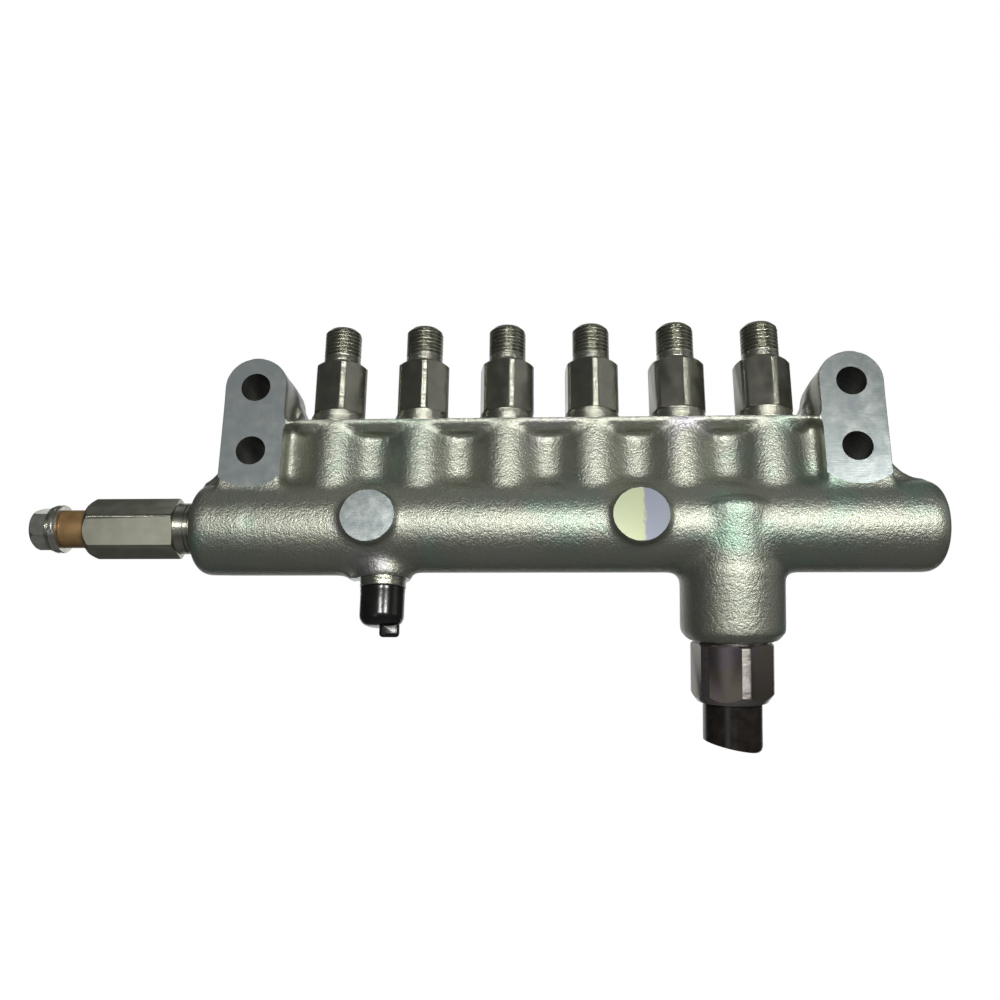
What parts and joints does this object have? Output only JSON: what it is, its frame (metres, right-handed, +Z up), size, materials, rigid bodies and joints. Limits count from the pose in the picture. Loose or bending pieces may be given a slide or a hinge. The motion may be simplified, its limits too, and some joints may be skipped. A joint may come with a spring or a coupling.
{
  "type": "common rail",
  "caption": "Forged diesel fuel rail with a row of threaded outlets, bolt lugs, relief valve at one end, pressure sensor below and a capped inlet.",
  "frame": {"origin": "centre of the four bolt holes, half way through the bolt lugs", "axes": "+X along the rail away from the relief valve, +Y from the front pads to the back pads, +Z up along the outlets"},
  "size_m": [0.3318, 0.0504, 0.1589],
  "materials": {
    "plated_forging": "shot-blasted forging, zinc plated with a pale yellow-green passivate; pads and discs milled",
    "dark_steel": "machined steel, dark grey-brown, satin",
    "olive_steel": "olive-grey satin machined steel",
    "inner_steel": "ground steel",
    "spring_steel": "bright spring wire",
    "tan_sleeve": "matte tan sleeve",
    "sealing_ring": "bright sealing ring",
    "zinc_bolt": "mid-grey zinc plated",
    "sensor_steel": "tinted stainless steel, satin",
    "seal_rubber": "black rubber",
    "black_plastic": "glossy brown-black moulded plastic",
    "contact_metal": "plated blades",
    "cap_vinyl": "glossy black soft vinyl"
  },
  "bodies": {
    "rail": {"rail_body": "plated_forging", "outlet_union_1": "dark_steel", "damper_stop_1": "inner_steel", "outlet_union_2": "dark_steel", "damper_stop_2": "inner_steel", "outlet_union_3": "dark_steel", "damper_stop_3": "inner_steel", "outlet_union_4": "dark_steel", "damper_stop_4": "inner_steel", "outlet_union_5": "dark_steel", "damper_stop_5": "inner_steel", "outlet_union_6": "dark_steel", "damper_stop_6": "inner_steel", "relief_body": "olive_steel", "relief_seat": "inner_steel", "relief_guide": "inner_steel", "return_sleeve": "tan_sleeve", "return_washers": "sealing_ring", "return_plug_bolt": "zinc_bolt", "sensor_body": "sensor_steel", "sensor_washer": "sealing_ring", "sensor_seal": "seal_rubber", "sensor_connector": "black_plastic", "sensor_terminals": "contact_metal", "inlet_cap": "cap_vinyl"},
    "damper_1": {"damper_piston_1": "inner_steel", "damper_spring_1": "spring_steel"},
    "damper_2": {"damper_piston_2": "inner_steel", "damper_spring_2": "spring_steel"},
    "damper_3": {"damper_piston_3": "inner_steel", "damper_spring_3": "spring_steel"},
    "damper_4": {"damper_piston_4": "inner_steel", "damper_spring_4": "spring_steel"},
    "damper_5": {"damper_piston_5": "inner_steel", "damper_spring_5": "spring_steel"},
    "damper_6": {"damper_piston_6": "inner_steel", "damper_spring_6": "spring_steel"},
    "relief_slider": {"relief_valve": "inner_steel", "relief_spring": "spring_steel"}
  },
  "joints": [
    {"name": "damper_1_slide", "type": "slide", "parent": "rail", "child": "damper_1", "axis": [0, 0, 1], "range_m": [0, 0.0025], "stiffness_N_per_m": 500, "springref_m": -0.0005, "deforming": ["damper_spring_1"]},
    {"name": "damper_2_slide", "type": "slide", "parent": "rail", "child": "damper_2", "axis": [0, 0, 1], "range_m": [0, 0.0025], "stiffness_N_per_m": 500, "springref_m": -0.0005, "deforming": ["damper_spring_2"]},
    {"name": "damper_3_slide", "type": "slide", "parent": "rail", "child": "damper_3", "axis": [0, 0, 1], "range_m": [0, 0.0025], "stiffness_N_per_m": 500, "springref_m": -0.0005, "deforming": ["damper_spring_3"]},
    {"name": "damper_4_slide", "type": "slide", "parent": "rail", "child": "damper_4", "axis": [0, 0, 1], "range_m": [0, 0.0025], "stiffness_N_per_m": 500, "springref_m": -0.0005, "deforming": ["damper_spring_4"]},
    {"name": "damper_5_slide", "type": "slide", "parent": "rail", "child": "damper_5", "axis": [0, 0, 1], "range_m": [0, 0.0025], "stiffness_N_per_m": 500, "springref_m": -0.0005, "deforming": ["damper_spring_5"]},
    {"name": "damper_6_slide", "type": "slide", "parent": "rail", "child": "damper_6", "axis": [0, 0, 1], "range_m": [0, 0.0025], "stiffness_N_per_m": 500, "springref_m": -0.0005, "deforming": ["damper_spring_6"]},
    {"name": "relief_slide", "type": "slide", "parent": "rail", "child": "relief_slider", "axis": [-1, 0, 0], "range_m": [0, 0.0015], "stiffness_N_per_m": 2000, "springref_m": -0.0005, "deforming": ["relief_spring"]}
  ]
}
